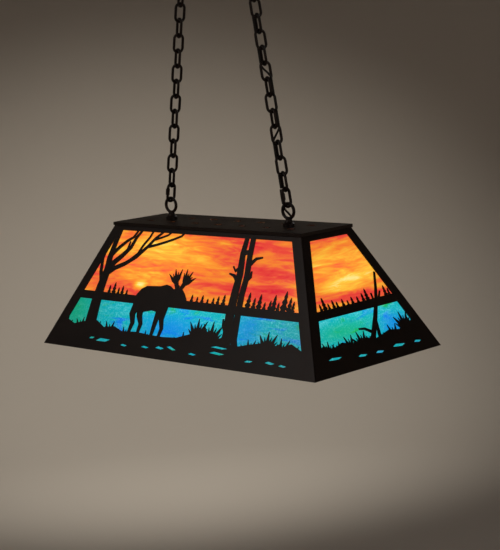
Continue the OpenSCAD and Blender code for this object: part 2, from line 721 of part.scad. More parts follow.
module bulb(x) {
    r = bulb_d / 2;
    translate([x, 0, bar_z - gap - 20.5]) rotate([180, 0, 0]) {
        cylinder(r = 13.1, h = 31.6);
        cylinder(r1 = 9, r2 = 13.1, h = 3);
        translate([0, 0, 31.6]) cylinder(r1 = 13.1, r2 = 26.2, h = 35.4);
        translate([0, 0, 80]) sphere(r = r);
    }
}
module bulb_left() { color("white") bulb(-lamp_pitch); }
module bulb_middle() { color("white") bulb(0); }
module bulb_right() { color("white") bulb(lamp_pitch); }

// ---- wiring ----
// a tube of n flat sides with one ring at each point of p, which never runs along off
function ring_at(p, k, r, n, off) = let (t = unit(p[min(k + 1, len(p) - 1)] - p[max(k - 1, 0)]),
    a = unit(cross(t, off)), b = cross(t, a))
    [for (j = [0:n - 1]) p[k] + r * (cos(360 * j / n) * a + sin(360 * j / n) * b)];

module tube(p, d, n = 10, off = [1, 0, 0]) {
    rings = len(p);
    polyhedron([for (k = [0:rings - 1]) each ring_at(p, k, d / 2, n, off)],
        concat([[for (j = [0:n - 1]) j]],
            [for (k = [0:rings - 2]) for (j = [0:n - 1]) let (a = k * n + j, b = k * n + (j + 1) % n)
                each [[a, b + n, b], [a, a + n, b + n]]],
            [[for (j = [n - 1:-1:0]) (rings - 1) * n + j]]));
}

// a point s along the right chain from its top contact, and (a, b) to its side in the links' own planes
function chain_point(s, a, b) = let (c = cos(right_twist), k = sin(right_twist),
    x = a * c - b * k, y = a * k + b * c)
    [top_x + x * cos(chain_tilt) + s * sin(chain_tilt), y,
        top_z + x * sin(chain_tilt) - s * cos(chain_tilt)];

groove = 5.3;                         // the cord lies this far out in both link planes
// [along, side a, side b] from the bottom up; it passes through two links on its way
chain_route = [[375, -6, -5], [366, -5.5, -5.3], [352, -groove, -groove], [338, -groove, -groove],
    [324, -groove, -groove], [310, -groove, -groove], [300, -5.4, -5.3], [294, -5.3, -4.8],
    [289, -4.6, -2.4], [283.5, 0, 0], [278, 4.6, 2.4], [273, 5.3, 4.8], [267, 5.4, 5.3],
    [254, groove, groove], [240, groove, groove], [226, groove, groove], [212, groove, groove],
    [198, groove, groove], [192, 5.4, 5.3], [186, 5.3, 4.8], [181, 4.6, 2.4], [175.5, 0, 0],
    [170, -4.6, -2.4], [165, -5.3, -4.8], [159, -5.4, -5.3], [146, -groove, -groove],
    [132, -groove, -groove], [118, -groove, -groove], [104, -groove, -groove], [90, -groove, -groove],
    [76, -groove, -groove], [62, -groove, -groove], [48, -groove, -groove], [38, -5.6, -5.3], [30.4, -6, -5.5]];
upper_link_route = [[28.5, -6, -5.5], [20, -6.2, -5.6], [11, -6.4, -5.8], [3.9, -7, -6.5]];
canopy_route = [[-7, -5.6, -63.6], [-7.4, -6.2, -56], [-9, -8.5, -46], [-12.6, -12.6, -38.5], [-14, -14, -32],
    [-14, -14, -20], [-14, -9, -14.5], [-14, 4, -11]];
shade_route = [[5, -24, -27.5], [10, -23.5, -27.5], [15, -19, -27], [15, -11, -25.5], [9, -4, -23],
    [3, -0.6, -19.6], [0, 0, -15], [0, 0, -6], [0, 0, 1.5], [0, 0.7, 4.6], [0, 2.6, 7.2],
    [0, 5.2, 9.8], [-0.4, 7.5, 13.2], [-1.4, 7, 17.2], [-3, 4.2, 21.5], [-4.2, 0, 26], [-5.2, -3.6, 31],
    [-6, -5, 35.9]];
quick_route = [[-6.1, -5.1, 38.2], [-6.4, -5.4, 46], [-6.6, -5.2, 55], [-6.8, -4.4, 63.4]];

module cord_shade() {
    color("black") tube([for (q = shade_route) [low_loop_x, 0, plate_z] + q], cord_d);
}
module cord_quick_link() {
    lean = sin(chain_tilt) / cos(chain_tilt);
    color("black") tube([for (q = quick_route) [low_loop_x - (q[2] - 36) * lean, 0, plate_z] + q], cord_d);
}
module cord_chain() { color("black") tube([for (q = chain_route) chain_point(q[0], q[1], q[2])], cord_d); }
module cord_upper_link() {
    color("black") tube([for (q = upper_link_route) chain_point(q[0], q[1], q[2])], cord_d);
}
module cord_canopy() { color("black") tube([for (q = canopy_route) [top_x, 0, 0] + q], cord_d); }

// wires over the socket bar, from each holder's stem to the two outer connectors
wire_d = 2.8;
function stem_wire(x, m, turn = 1) = [for (q = [[0.5, 1.9, 15.4], [2.4, 3, 17.8], [6, 5, 19], [11, 7.5, 17.8],
    [16.5, 9.3, 13.5], [22, 10, 8.7]]) [x + turn * q[0], m * q[1], q[2]]];
function run_wire(m) = concat(stem_wire(-lamp_pitch, m),
    [[-lamp_pitch + 29, m * 10.2, 5.4], [-lamp_pitch + 38, m * 10.2, 4.4], [0, m * 10.2, 4.4], [102, m * 10.2, 4.4]]);
module wire(p) { translate([0, 0, bar_z]) tube(p, wire_d, 8, [0, 0, 1]); }

module inner_wires() {
    color("black") {
        wire(concat(run_wire(-1), [[112, -10.4, 4.6], [119, -12, 6], [125, -14.5, 8.6], [128, -18.5, 11],
            [126.8, -22.6, 12], [123, -24, 12], [117.5, -24, 12]]));
        wire(concat(run_wire(1), [[168, 10.2, 4.4], [177, 8.5, 5.6], [183, 2, 8], [186.5, -8, 10.5],
            [188.5, -16, 12], [188, -21.5, 12.2], [184, -24, 12], [177.5, -24, 12]]));
        for (m = [-1, 1]) {
            wire(stem_wire(0, m));
            wire(stem_wire(lamp_pitch + 1.6 * m, 1, m));
        }
    }
}

module shade_wire_nuts() {
    color("orange") for (k = [-1, 0, 1]) translate([low_loop_x + 7.5 + 30 * k, -24, plate_z - 27.5])
        rotate([0, -90, 0]) wire_nut();
}

canopy();
mounting_strap();
canopy_studs();
cap_nuts();
ground_screw();
canopy_wire_nuts();
upper_loop_left();
upper_loop_right();
upper_loop_nuts();
upper_link_left();
upper_link_right();
chain_links_left();
chain_links_right();
quick_link_left();
quick_link_right();
quick_link_sleeve_left();
quick_link_sleeve_right();
lower_loop_left();
lower_loop_right();
lower_loop_nuts();
lower_loop_washers();
top_plate();
plate_brackets();
plate_nuts();
front_panel();
back_panel();
right_panel();
left_panel();
front_sky_glass();
front_water_glass();
back_sky_glass();
back_water_glass();
right_sky_glass();
right_water_glass();
left_sky_glass();
left_water_glass();
corner_angles();
corner_nuts();
glass_clips();
clip_nuts();
socket_bar();
bar_hangers();
hanger_nuts();
socket_left();
socket_middle();
socket_right();
socket_nuts();
bulb_left();
bulb_middle();
bulb_right();
inner_wires();
shade_wire_nuts();
cord_bushing();
cord_canopy();
cord_upper_link();
cord_chain();
cord_quick_link();
cord_shade();
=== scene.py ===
import math

import bmesh
import bpy
from mathutils import Matrix, Vector


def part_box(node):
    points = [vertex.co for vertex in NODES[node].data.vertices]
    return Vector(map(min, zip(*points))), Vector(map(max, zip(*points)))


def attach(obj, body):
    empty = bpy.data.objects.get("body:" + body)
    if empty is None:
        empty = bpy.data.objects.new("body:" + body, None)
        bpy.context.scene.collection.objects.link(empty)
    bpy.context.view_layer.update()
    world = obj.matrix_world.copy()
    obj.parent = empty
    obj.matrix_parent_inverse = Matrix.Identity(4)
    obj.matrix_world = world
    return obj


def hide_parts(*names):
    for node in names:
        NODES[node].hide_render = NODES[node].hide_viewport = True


bl_info = {
    "name": "Pool Table Lamp",
    "version": (1, 0, 0),
    "blender": (4, 5, 0),
    "location": "3D Viewport > Sidebar > Lamp",
    "description": "Finishes, glass, cord and stage for a chain-hung pool table lamp",
    "category": "Object",
}

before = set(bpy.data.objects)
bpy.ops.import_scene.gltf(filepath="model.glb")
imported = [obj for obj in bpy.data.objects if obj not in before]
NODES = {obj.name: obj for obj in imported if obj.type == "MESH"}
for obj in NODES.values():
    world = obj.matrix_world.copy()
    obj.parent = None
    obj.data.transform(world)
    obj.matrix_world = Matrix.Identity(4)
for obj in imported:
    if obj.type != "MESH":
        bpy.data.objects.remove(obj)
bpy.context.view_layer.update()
SHADE_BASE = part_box("front_panel")[0].z
SHADE_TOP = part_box("top_plate")[1].z
BULB_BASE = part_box("bulb_middle")[0].z
PANEL_SIDES = ("front", "right", "back", "left")


# ---- the sizes and colours that a user would change ----

def colour(name, text, value):
    return bpy.props.FloatVectorProperty(
        name=name, description=text, default=value, subtype="COLOR", size=3, min=0.0, max=1.0)


class LampSteel(bpy.types.PropertyGroup):
    """Powder-coated and plated metal"""
    coat: colour("Coat", "Dark bronze powder coat of shade, chain and canopy", (0.0095, 0.0068, 0.0058))
    coat_warm: colour("Coat sheen", "Red-brown tone in the thin parts of the coat", (0.036, 0.016, 0.011))
    zinc: colour("Zinc", "Plated brackets, nuts and clips", (0.42, 0.41, 0.39))
    grain: bpy.props.FloatProperty(
        name="Grain size", description="Size of the coat's grain", default=0.0011, unit="LENGTH")
    edge: bpy.props.FloatProperty(
        name="Edge radius", description="Rounding of the coated edges", default=0.0004, unit="LENGTH")


class LampGlass(bpy.types.PropertyGroup):
    """Art glass with a painted back-light glow"""
    # The sky glass near the lamps is paler than this only by painted glow of the lamps behind it.
    sun: colour("Sun", "Palest glass near the lamps", (1.0, 0.56, 0.05))
    amber: colour("Amber", "Middle of the sky glass", (1.0, 0.27, 0.03))
    coral: colour("Coral", "Outer sky glass", (0.9, 0.085, 0.045))
    crimson: colour("Crimson", "Deepest sky glass", (0.74, 0.012, 0.035))
    deep: colour("Deep water", "Blue streaks", (0.003, 0.16, 0.6))
    teal: colour("Teal", "Main water glass", (0.003, 0.33, 0.38))
    green: colour("Green", "Green streaks", (0.008, 0.33, 0.08))
    foam: colour("Foam", "Pale streaks", (0.16, 0.66, 0.68))
    # Glow scales the glass's emission, painted back-light that stands in for the lamps behind it.
    glow: bpy.props.FloatProperty(
        name="Glow", description="How brightly the lamps light the glass", default=1.0, min=0.0, max=4.0)
    relief: bpy.props.FloatProperty(
        name="Relief", description="Height of the rolled ripples", default=0.0006, unit="LENGTH")


class LampCord(bpy.types.PropertyGroup):
    """Supply cord"""
    diameter: bpy.props.FloatProperty(
        name="Diameter", description="Outside diameter of the cord", default=0.0038, unit="LENGTH")
    jacket: colour("Jacket", "Colour of the cord's jacket", (0.022, 0.017, 0.014))


class LampStage(bpy.types.PropertyGroup):
    """Floor, backdrop and lights"""
    backdrop: colour("Backdrop", "Pale floor and backdrop", (0.66, 0.6, 0.54))
    key_power: bpy.props.FloatProperty(
        name="Key light", description="Power of the soft key light in watts", default=9.0, min=0.0)
    wash_power: bpy.props.FloatProperty(
        name="Wash light", description="Power of the main light on the backdrop in watts", default=140.0,
        min=0.0)


# ---- small helpers for node trees ----

class Tree:
    """Adds nodes to a tree and links them in one call."""

    def __init__(self, tree):
        self.tree = tree
        self.count = 0

    def add(self, kind, inputs=None, **settings):
        node = self.tree.nodes.new(kind)
        node.location = (220 * (self.count % 8), -180 * (self.count // 8))
        self.count += 1
        for key, value in settings.items():
            setattr(node, key, value)
        for key, value in (inputs or {}).items():
            self.feed(node.inputs[key], value)
        return node

    def feed(self, socket, value):
        if isinstance(value, bpy.types.NodeSocket):
            self.tree.links.new(value, socket)
        elif socket.type == "RGBA" and hasattr(value, "__len__"):
            socket.default_value = (*value[:3], 1.0)
        else:
            socket.default_value = value

    def math(self, operation, a, b=0.5, clamp=False):
        return self.add("ShaderNodeMath", {0: a, 1: b}, operation=operation, use_clamp=clamp).outputs[0]

    def scaled(self, value, gain, offset):
        """value * gain + offset"""
        return self.add("ShaderNodeMath", {0: value, 1: gain, 2: offset}, operation="MULTIPLY_ADD").outputs[0]

    def between(self, value, low, high):
        """0..1 spread over low..high"""
        return self.add("ShaderNodeMapRange", {"Value": value, "To Min": low, "To Max": high}).outputs[0]

    def above(self, value, start, full):
        """0 up to start, 1 from full on"""
        return self.add("ShaderNodeMapRange", {
            "Value": value, "From Min": start, "From Max": full}).outputs[0]

    def mix(self, factor, a, b, mode="MIX"):
        node = self.add("ShaderNodeMix", data_type="RGBA", blend_type=mode)
        self.feed(node.inputs["Factor"], factor)
        self.feed(node.inputs[6], a)
        self.feed(node.inputs[7], b)
        return node.outputs[2]

    def ramp(self, factor, stops):
        node = self.add("ShaderNodeValToRGB", {"Fac": factor})
        points = node.color_ramp.elements
        while len(points) < len(stops):
            points.new(0.5)
        for point, (place, value) in zip(points, stops):
            point.position = place
            point.color = (*value, 1.0)
        return node.outputs["Color"]

    def noise(self, vector, scale, detail=3.0, rough=0.5, distortion=0.0):
        node = self.add("ShaderNodeTexNoise", {
            "Vector": vector, "Scale": scale, "Detail": detail, "Roughness": rough,
            "Distortion": distortion})
        return node.outputs["Fac"]


def new_group(name, inputs, outputs):
    """A shader node group with named sockets; returns its tree helper and its inner ends."""
    group = bpy.data.node_groups.new(name, "ShaderNodeTree")
    for socket, kind, default in inputs:
        made = group.interface.new_socket(name=socket, in_out="INPUT", socket_type=kind)
        if default is not None:
            made.default_value = default
    for socket, kind in outputs:
        group.interface.new_socket(name=socket, in_out="OUTPUT", socket_type=kind)
    tree = Tree(group)
    return tree, tree.add("NodeGroupInput").outputs, tree.add("NodeGroupOutput").inputs


def coat_grain_group():
    """Orange-peel grain, cloudy tone and settled dust of a coated or plated surface."""
    group = bpy.data.node_groups.get("Coat Grain")
    if group:
        return group
    tree, given, wanted = new_group(
        "Coat Grain",
        [("Vector", "NodeSocketVector", None), ("Size", "NodeSocketFloat", 0.001),
         ("Cloud", "NodeSocketFloat", 0.05)],
        [("Grain", "NodeSocketFloat"), ("Tone", "NodeSocketFloat"), ("Dust", "NodeSocketFloat")])
    fine = tree.noise(given["Vector"], tree.math("DIVIDE", 1.0, given["Size"]), 2.0, 0.6)
    cloud = tree.noise(given["Vector"], tree.math("DIVIDE", 1.0, given["Cloud"]), 4.0, 0.55, 0.6)
    normal = tree.add("ShaderNodeNewGeometry").outputs["Normal"]
    upward = tree.add("ShaderNodeSeparateXYZ", {0: normal}).outputs["Z"]
    dust = tree.math("MULTIPLY", tree.math("SMOOTH_MIN", upward, 0.8), cloud, clamp=True)
    tree.feed(wanted["Grain"], fine)
    tree.feed(wanted["Tone"], cloud)
    tree.feed(wanted["Dust"], dust)
    return tree.tree


def glass_streak_group():
    """Streaks, flecks and rolled ripples of poured art glass, drawn out along the sheet."""
    group = bpy.data.node_groups.get("Art Glass Streaks")
    if group:
        return group
    tree, given, wanted = new_group(
        "Art Glass Streaks",
        [("Vector", "NodeSocketVector", None), ("Along", "NodeSocketFloat", 6.0),
         ("Across", "NodeSocketFloat", 30.0), ("Swirl", "NodeSocketFloat", 0.8),
         ("Ripple", "NodeSocketFloat", 120.0)],
        [("Streak", "NodeSocketFloat"), ("Wisp", "NodeSocketFloat"), ("Ripple Height", "NodeSocketFloat")])
    parts = tree.add("ShaderNodeSeparateXYZ", {0: given["Vector"]}).outputs
    drawn = tree.add("ShaderNodeCombineXYZ", {
        "X": tree.math("MULTIPLY", parts["X"], given["Along"]),
        "Y": tree.math("MULTIPLY", parts["Y"], given["Across"]),
        "Z": tree.math("MULTIPLY", parts["Z"], given["Across"])}).outputs[0]
    broad = tree.noise(drawn, 1.0, 4.0, 0.55, given["Swirl"])
    wisps = tree.noise(drawn, 2.7, 6.0, 0.62, 1.6)
    ripples = tree.noise(given["Vector"], given["Ripple"], 2.0, 0.5, 0.4)
    tree.feed(wanted["Streak"], broad)
    tree.feed(wanted["Wisp"], wisps)
    tree.feed(wanted["Ripple Height"], ripples)
    return tree.tree


def use_group(tree, group, **inputs):
    node = tree.add("ShaderNodeGroup", node_tree=group)
    for name, value in inputs.items():
        tree.feed(node.inputs[name], value)
    return node.outputs


def new_material(name):
    material = bpy.data.materials.new(name)
    material.use_nodes = True
    material.node_tree.nodes.clear()
    tree = Tree(material.node_tree)
    shader = tree.add("ShaderNodeBsdfPrincipled")
    tree.add("ShaderNodeOutputMaterial", {"Surface": shader.outputs[0]})
    place = tree.add("ShaderNodeTexCoord").outputs["Object"]
    return material, tree, shader, place


def bump(tree, height, strength, distance):
    return tree.add("ShaderNodeBump", {
        "Height": height, "Strength": strength, "Distance": distance}).outputs[0]


# ---- materials ----

METAL_DUST = (0.28, 0.23, 0.19)
ZINC_DUST = (0.3, 0.27, 0.22)
PLASTIC_DUST = (0.4, 0.36, 0.3)


def coated_steel(name="Dark Bronze Coat", dusty=True):
    steel = bpy.context.scene.lamp_steel
    material, tree, shader, place = new_material(name)
    grain = use_group(tree, coat_grain_group(), Vector=place, Size=steel.grain, Cloud=0.06)
    tone = tree.mix(tree.math("MULTIPLY", grain["Tone"], 0.9), steel.coat, steel.coat_warm)
    if dusty:
        tone = tree.mix(tree.math("MULTIPLY", grain["Dust"], 0.1), tone, METAL_DUST)
    tree.feed(shader.inputs["Base Color"], tone)
    tree.feed(shader.inputs["Roughness"], tree.between(grain["Tone"], 0.3, 0.5))
    tree.feed(shader.inputs["Normal"], bump(tree, grain["Grain"], 0.25, 0.0002))
    shader.inputs["Metallic"].default_value = 0.35
    shader.inputs["Specular IOR Level"].default_value = 0.55
    return material


def plated_zinc():
    steel = bpy.context.scene.lamp_steel
    material, tree, shader, place = new_material("Zinc Plate")
    grain = use_group(tree, coat_grain_group(), Vector=place, Size=0.0006, Cloud=0.012)
    tone = tree.mix(grain["Tone"], steel.zinc, [c * 0.62 for c in steel.zinc])
    dusted = tree.mix(tree.math("MULTIPLY", grain["Dust"], 0.3), tone, ZINC_DUST)
    tree.feed(shader.inputs["Base Color"], dusted)
    tree.feed(shader.inputs["Roughness"], tree.between(grain["Tone"], 0.28, 0.52))
    tree.feed(shader.inputs["Normal"], bump(tree, grain["Grain"], 0.2, 0.00015))
    shader.inputs["Metallic"].default_value = 0.9
    return material


def slope_place(tree, place, long_side):
    """Across the slope and up the shade, the same on a slope and on the one opposite."""
    parts = tree.add("ShaderNodeSeparateXYZ", {0: place}).outputs
    if long_side:
        turn = tree.math("MULTIPLY", tree.math("SIGN", parts["Y"]), -1.0)
        across = tree.math("MULTIPLY", parts["X"], turn)
    else:
        across = tree.math("MULTIPLY", parts["Y"], tree.math("SIGN", parts["X"]))
    up = tree.math("SUBTRACT", parts["Z"], SHADE_BASE)
    sheet = 0.31 if long_side else 1.7
    flat = tree.add("ShaderNodeCombineXYZ", {"X": across, "Y": sheet, "Z": up}).outputs[0]
    return across, up, flat


def patch(tree, across, up, centre, width, height):
    """1 at a centre on the slope, falling to 0 over an ellipse."""
    x = tree.math("DIVIDE", tree.math("SUBTRACT", across, centre[0]), width)
    z = tree.math("DIVIDE", tree.math("SUBTRACT", up, centre[1]), height)
    span = tree.math("SQRT", tree.math("ADD", tree.math("MULTIPLY", x, x), tree.math("MULTIPLY", z, z)))
    node = tree.add("ShaderNodeMapRange", {
        "Value": span, "From Min": 0.0, "From Max": 1.0, "To Min": 1.0, "To Max": 0.0},
        interpolation_type="SMOOTHSTEP")
    return node.outputs[0]


def painted_backlit_glass(tree, shader, tint, painted_backlight, strength, ripple):
    """Ends a glass material: its tint glows by emission, a painted back-light standing in for the lamps
    behind it, brighter where the given factor is higher.
    """
    # Painted back-light: the emission colour is the tint times the given glow factor.
    light = tree.add("ShaderNodeCombineXYZ", {"X": painted_backlight, "Y": painted_backlight, "Z": painted_backlight}).outputs[0]
    glass = bpy.context.scene.lamp_glass
    tree.feed(shader.inputs["Base Color"], tree.mix(0.55, tint, (0.0, 0.0, 0.0)))
    tree.feed(shader.inputs["Emission Color"], tree.mix(1.0, tint, light, "MULTIPLY"))
    shader.inputs["Emission Strength"].default_value = strength * glass.glow
    shader.inputs["Roughness"].default_value = 0.12
    tree.feed(shader.inputs["Normal"], bump(tree, ripple, 0.35, glass.relief))


# Palest sky glass: where the streaks run thin, and where the painted glow of the lamps is laid on.
PALEST = (1.0, 0.84, 0.34)

# patches of the sky glass: (across, up) of the centre, half width, half height, then how far
# each pushes the sky's tone towards crimson (above 0) or yellow (below 0). The red and rose patches
# are the poured sheets' own colour. The first two push towards yellow and are painted glow of the
# lamps behind the glass, and the glass's emission is raised there as well.
SKY_PATCHES = {
    True: {"painted_lamp_glow": ((-0.1, 0.165), 0.2, 0.07, -0.2), "painted_bright_core": ((-0.122, 0.115), 0.026, 0.012, -0.5),
           "red": ((0.205, 0.125), 0.1, 0.06, 0.34), "rose": ((0.06, 0.2), 0.17, 0.035, 0.16)},
    False: {"painted_lamp_glow": ((0.0, 0.148), 0.12, 0.045, -0.2), "painted_bright_core": ((0.0, 0.15), 0.02, 0.01, -0.15),
            "red": ((0.0, 0.222), 0.2, 0.05, 0.34), "rose": ((-0.085, 0.108), 0.06, 0.04, 0.16)}}
GREEN_PATCH = {True: ((-0.27, 0.06), 0.09, 0.09), False: ((-0.05, 0.06), 0.12, 0.026)}
BLUE_PATCH = {True: ((-0.02, 0.05), 0.12, 0.04), False: ((0.075, 0.05), 0.06, 0.03)}
SECOND_BLUE = ((0.16, 0.062), 0.055, 0.05)
# middle of each slope, where the water glass's painted back-light glow is strongest
PAINTED_GLOW_MIDDLE = ((0.0, 0.085), 0.36, 0.13)


def sky_glass(long_side):
    glass = bpy.context.scene.lamp_glass
    material, tree, shader, place = new_material("Sky Glass Long" if long_side else "Sky Glass End")
    across, up, flat = slope_place(tree, place, long_side)
    streaks = use_group(tree, glass_streak_group(), Vector=flat, Along=5.0, Across=34.0, Swirl=0.5,
                        Ripple=55.0)
    tone = tree.scaled(streaks["Streak"], 1.5, -0.27)
    masks = {}
    for name, (centre, width, height, push) in SKY_PATCHES[long_side].items():
        masks[name] = patch(tree, across, up, centre, width, height)
        tone = tree.math("ADD", tone, tree.math("MULTIPLY", masks[name], push))
    wisp = tree.math("MULTIPLY", tree.math("SUBTRACT", streaks["Wisp"], 0.5), 0.75)
    tint = tree.ramp(tree.math("ADD", tone, wisp), [
        (0.0, PALEST), (0.22, glass.sun), (0.46, glass.amber), (0.68, glass.coral), (0.95, glass.crimson)])
    # The emission is painted back-light, raised at the two painted glow patches near the lamps.
    painted_backlight = tree.scaled(tree.math("MAXIMUM", masks["painted_lamp_glow"], masks["painted_bright_core"]), 0.2, 0.8)
    painted_backlit_glass(tree, shader, tint, painted_backlight, 1.1, streaks["Ripple Height"])
    return material


def water_glass(long_side):
    glass = bpy.context.scene.lamp_glass
    material, tree, shader, place = new_material("Water Glass Long" if long_side else "Water Glass End")
    across, up, flat = slope_place(tree, place, long_side)
    streaks = use_group(tree, glass_streak_group(), Vector=flat, Along=11.0, Across=46.0, Swirl=1.3,
                        Ripple=310.0)
    base = tree.ramp(streaks["Streak"], [
        (0.32, glass.deep), (0.44, glass.teal), (0.58, glass.teal), (0.7, glass.green)])
    wisp = tree.math("MULTIPLY", tree.above(streaks["Wisp"], 0.52, 0.74), 0.4)
    fleck = tree.math("MULTIPLY", tree.above(streaks["Ripple Height"], 0.5, 0.72), 0.34)
    tint = tree.mix(tree.math("ADD", wisp, fleck, clamp=True), base, glass.foam)
    green = patch(tree, across, up, *GREEN_PATCH[long_side])
    blue = patch(tree, across, up, *BLUE_PATCH[long_side])
    if long_side:
        second = tree.math("MULTIPLY", patch(tree, across, up, *SECOND_BLUE), 0.8)
        blue = tree.math("MAXIMUM", blue, second)
    tint = tree.mix(tree.math("MULTIPLY", green, 0.62), tint, glass.green)
    tint = tree.mix(tree.math("MULTIPLY", blue, 0.75), tint, glass.deep)
    # Painted back-light: the water glass glows brighter in the middle of the slope.
    painted_backlight = tree.scaled(patch(tree, across, up, *PAINTED_GLOW_MIDDLE), 0.5, 0.72)
    painted_backlit_glass(tree, shader, tint, painted_backlight, 1.15, streaks["Ripple Height"])
    return material


BULB_LENGTH = 0.11


def frosted_bulb():
    """Frosted glass that is bright at the globe and dark where the metal base begins."""
    material, tree, shader, place = new_material("Frosted Bulb")
    parts = tree.add("ShaderNodeSeparateXYZ", {0: place}).outputs
    up = tree.math("DIVIDE", tree.math("SUBTRACT", parts["Z"], BULB_BASE), BULB_LENGTH)
    bright = tree.ramp(up, [
        (0.0, (1.0, 0.9, 0.72)), (0.45, (1.0, 0.84, 0.6)), (0.72, (0.5, 0.38, 0.24)),
        (0.76, (0.0, 0.0, 0.0))])
    base = tree.ramp(up, [(0.7, (0.9, 0.88, 0.84)), (0.76, (0.55, 0.5, 0.42))])
    tree.feed(shader.inputs["Base Color"], base)
    tree.feed(shader.inputs["Emission Color"], bright)
    shader.inputs["Emission Strength"].default_value = 24.0
    frost = tree.noise(place, 900.0, 2.0)
    tree.feed(shader.inputs["Roughness"], tree.between(frost, 0.25, 0.45))
    return material


def moulded(name, tint, dark, rough, size=0.0008):
    material, tree, shader, place = new_material(name)
    grain = use_group(tree, coat_grain_group(), Vector=place, Size=size, Cloud=0.02)
    tone = tree.mix(grain["Tone"], tint, dark)
    dusted = tree.mix(tree.math("MULTIPLY", grain["Dust"], 0.2), tone, PLASTIC_DUST)
    tree.feed(shader.inputs["Base Color"], dusted)
    tree.feed(shader.inputs["Roughness"], tree.between(grain["Tone"], rough - 0.08, rough + 0.1))
    tree.feed(shader.inputs["Normal"], bump(tree, grain["Grain"], 0.2, 0.0002))
    return material


# ---- meshes ----

def dress(names, material, smooth=True):
    """Gives CAD nodes one material and smooth shading over their round faces."""
    for name in names:
        thing = NODES[name]
        thing.data.materials.clear()
        thing.data.materials.append(material)
        if smooth:
            thing.data.shade_smooth()
            soft = thing.modifiers.new("Round shading", "EDGE_SPLIT")
            soft.split_angle = math.radians(34)


def link_object(name, data):
    thing = bpy.data.objects.new(name, data)
    bpy.context.scene.collection.objects.link(thing)
    return thing


def rounded_edges(names, radius, segments=2):
    """A small real chamfer on the sharp edges of CAD nodes."""
    for name in names:
        thing = NODES[name]
        edge = thing.modifiers.new("Broken edges", "BEVEL")
        edge.width = radius
        edge.segments = segments
        edge.limit_method = "ANGLE"
        edge.angle_limit = math.radians(40)
        edge.use_clamp_overlap = True
        edge.harden_normals = False


def smooth_path(points, steps):
    """Points along a Catmull-Rom curve through the given points."""
    ends = [2 * points[0] - points[1], *points, 2 * points[-1] - points[-2]]
    path = []
    for a, b, c, d in zip(ends, ends[1:], ends[2:], ends[3:]):
        for step in range(steps):
            t = step / steps
            path.append(0.5 * (2 * b + (c - a) * t + (2 * a - 5 * b + 4 * c - d) * t * t
                               + (3 * b - a - 3 * c + d) * t ** 3))
    return [*path, points[-1]]


def tube(name, path, radius, sides=20, rib=0.0, rib_pitch=0.0022):
    """A closed round tube along a path, with optional braided ribs."""
    mesh = bpy.data.meshes.new(name)
    shape = bmesh.new()
    rings = []
    run = 0.0
    side = Vector((1.0, 0.0, 0.0))
    for k, place in enumerate(path):
        ahead = (path[min(k + 1, len(path) - 1)] - path[max(k - 1, 0)]).normalized()
        side = (side - ahead * side.dot(ahead)).normalized()
        other = ahead.cross(side)
        run += (place - path[k - 1]).length if k else 0.0
        end = 0.82 if k in (0, len(path) - 1) else 1.0
        ring = []
        for j in range(sides):
            angle = 2 * math.pi * j / sides
            wave = rib * math.sin(2 * math.pi * run / rib_pitch + angle * 2)
            ring.append(shape.verts.new(place + (side * math.cos(angle) + other * math.sin(angle))
                                        * (radius * end + wave)))
        rings.append(ring)
    for low, high in zip(rings, rings[1:]):
        for j in range(sides):
            shape.faces.new((low[j], low[(j + 1) % sides], high[(j + 1) % sides], high[j]))
    shape.faces.new(list(reversed(rings[0])))
    shape.faces.new(rings[-1])
    bmesh.ops.recalc_face_normals(shape, faces=shape.faces)
    shape.to_mesh(mesh)
    shape.free()
    mesh.shade_smooth()
    return link_object(name, mesh)


# ---- operators: one for each group of pieces ----

COATED = ("canopy", "cap_nuts", "upper_loop_left", "upper_loop_right", "upper_link_left",
          "upper_link_right", "chain_links_left", "chain_links_right", "quick_link_left",
          "quick_link_right", "quick_link_sleeve_left", "quick_link_sleeve_right", "lower_loop_left",
          "lower_loop_right", "top_plate", "corner_angles")
PLATED = ("mounting_strap", "canopy_studs", "upper_loop_nuts", "lower_loop_nuts", "lower_loop_washers",
          "plate_brackets", "plate_nuts", "corner_nuts", "glass_clips", "clip_nuts", "socket_bar",
          "bar_hangers", "hanger_nuts", "socket_nuts")
SOCKETS = ("socket_left", "socket_middle", "socket_right")
BULBS = ("bulb_left", "bulb_middle", "bulb_right")


class LAMP_OT_coat_steel(bpy.types.Operator):
    """Coat the shade, chains, loops and canopy in dark bronze"""
    bl_idname = "lamp.coat_steel"
    bl_label = "Coat Steel"

    def execute(self, context):
        dress(COATED, coated_steel())
        rounded_edges(("canopy", "top_plate", "cap_nuts"), context.scene.lamp_steel.edge)
        return {"FINISHED"}


class LAMP_OT_coat_panels(bpy.types.Operator):
    """Coat the four pierced panels"""
    bl_idname = "lamp.coat_panels"
    bl_label = "Coat Panels"

    def execute(self, context):
        coat = coated_steel("Dark Bronze Panel", dusty=False)
        dress([f"{side}_panel" for side in PANEL_SIDES], coat, smooth=False)
        return {"FINISHED"}


class LAMP_OT_plate_hardware(bpy.types.Operator):
    """Plate the brackets, nuts, clips and strap"""
    bl_idname = "lamp.plate_hardware"
    bl_label = "Plate Hardware"

    def execute(self, context):
        dress(PLATED, plated_zinc())
        dress(["ground_screw"], moulded("Green Plate", (0.03, 0.2, 0.05), (0.02, 0.12, 0.03), 0.35))
        return {"FINISHED"}


class LAMP_OT_pour_glass(bpy.types.Operator):
    """Pour the sky and water glass and paint its glow as if lit from behind by the lamps"""
    bl_idname = "lamp.pour_glass"
    bl_label = "Pour Glass"

    def execute(self, context):
        poured = [(sky_glass(long_side), water_glass(long_side)) for long_side in (True, False)]
        for k, side in enumerate(PANEL_SIDES):
            sky, water = poured[k % 2]
            dress([f"{side}_sky_glass"], sky, smooth=False)
            dress([f"{side}_water_glass"], water, smooth=False)
        return {"FINISHED"}


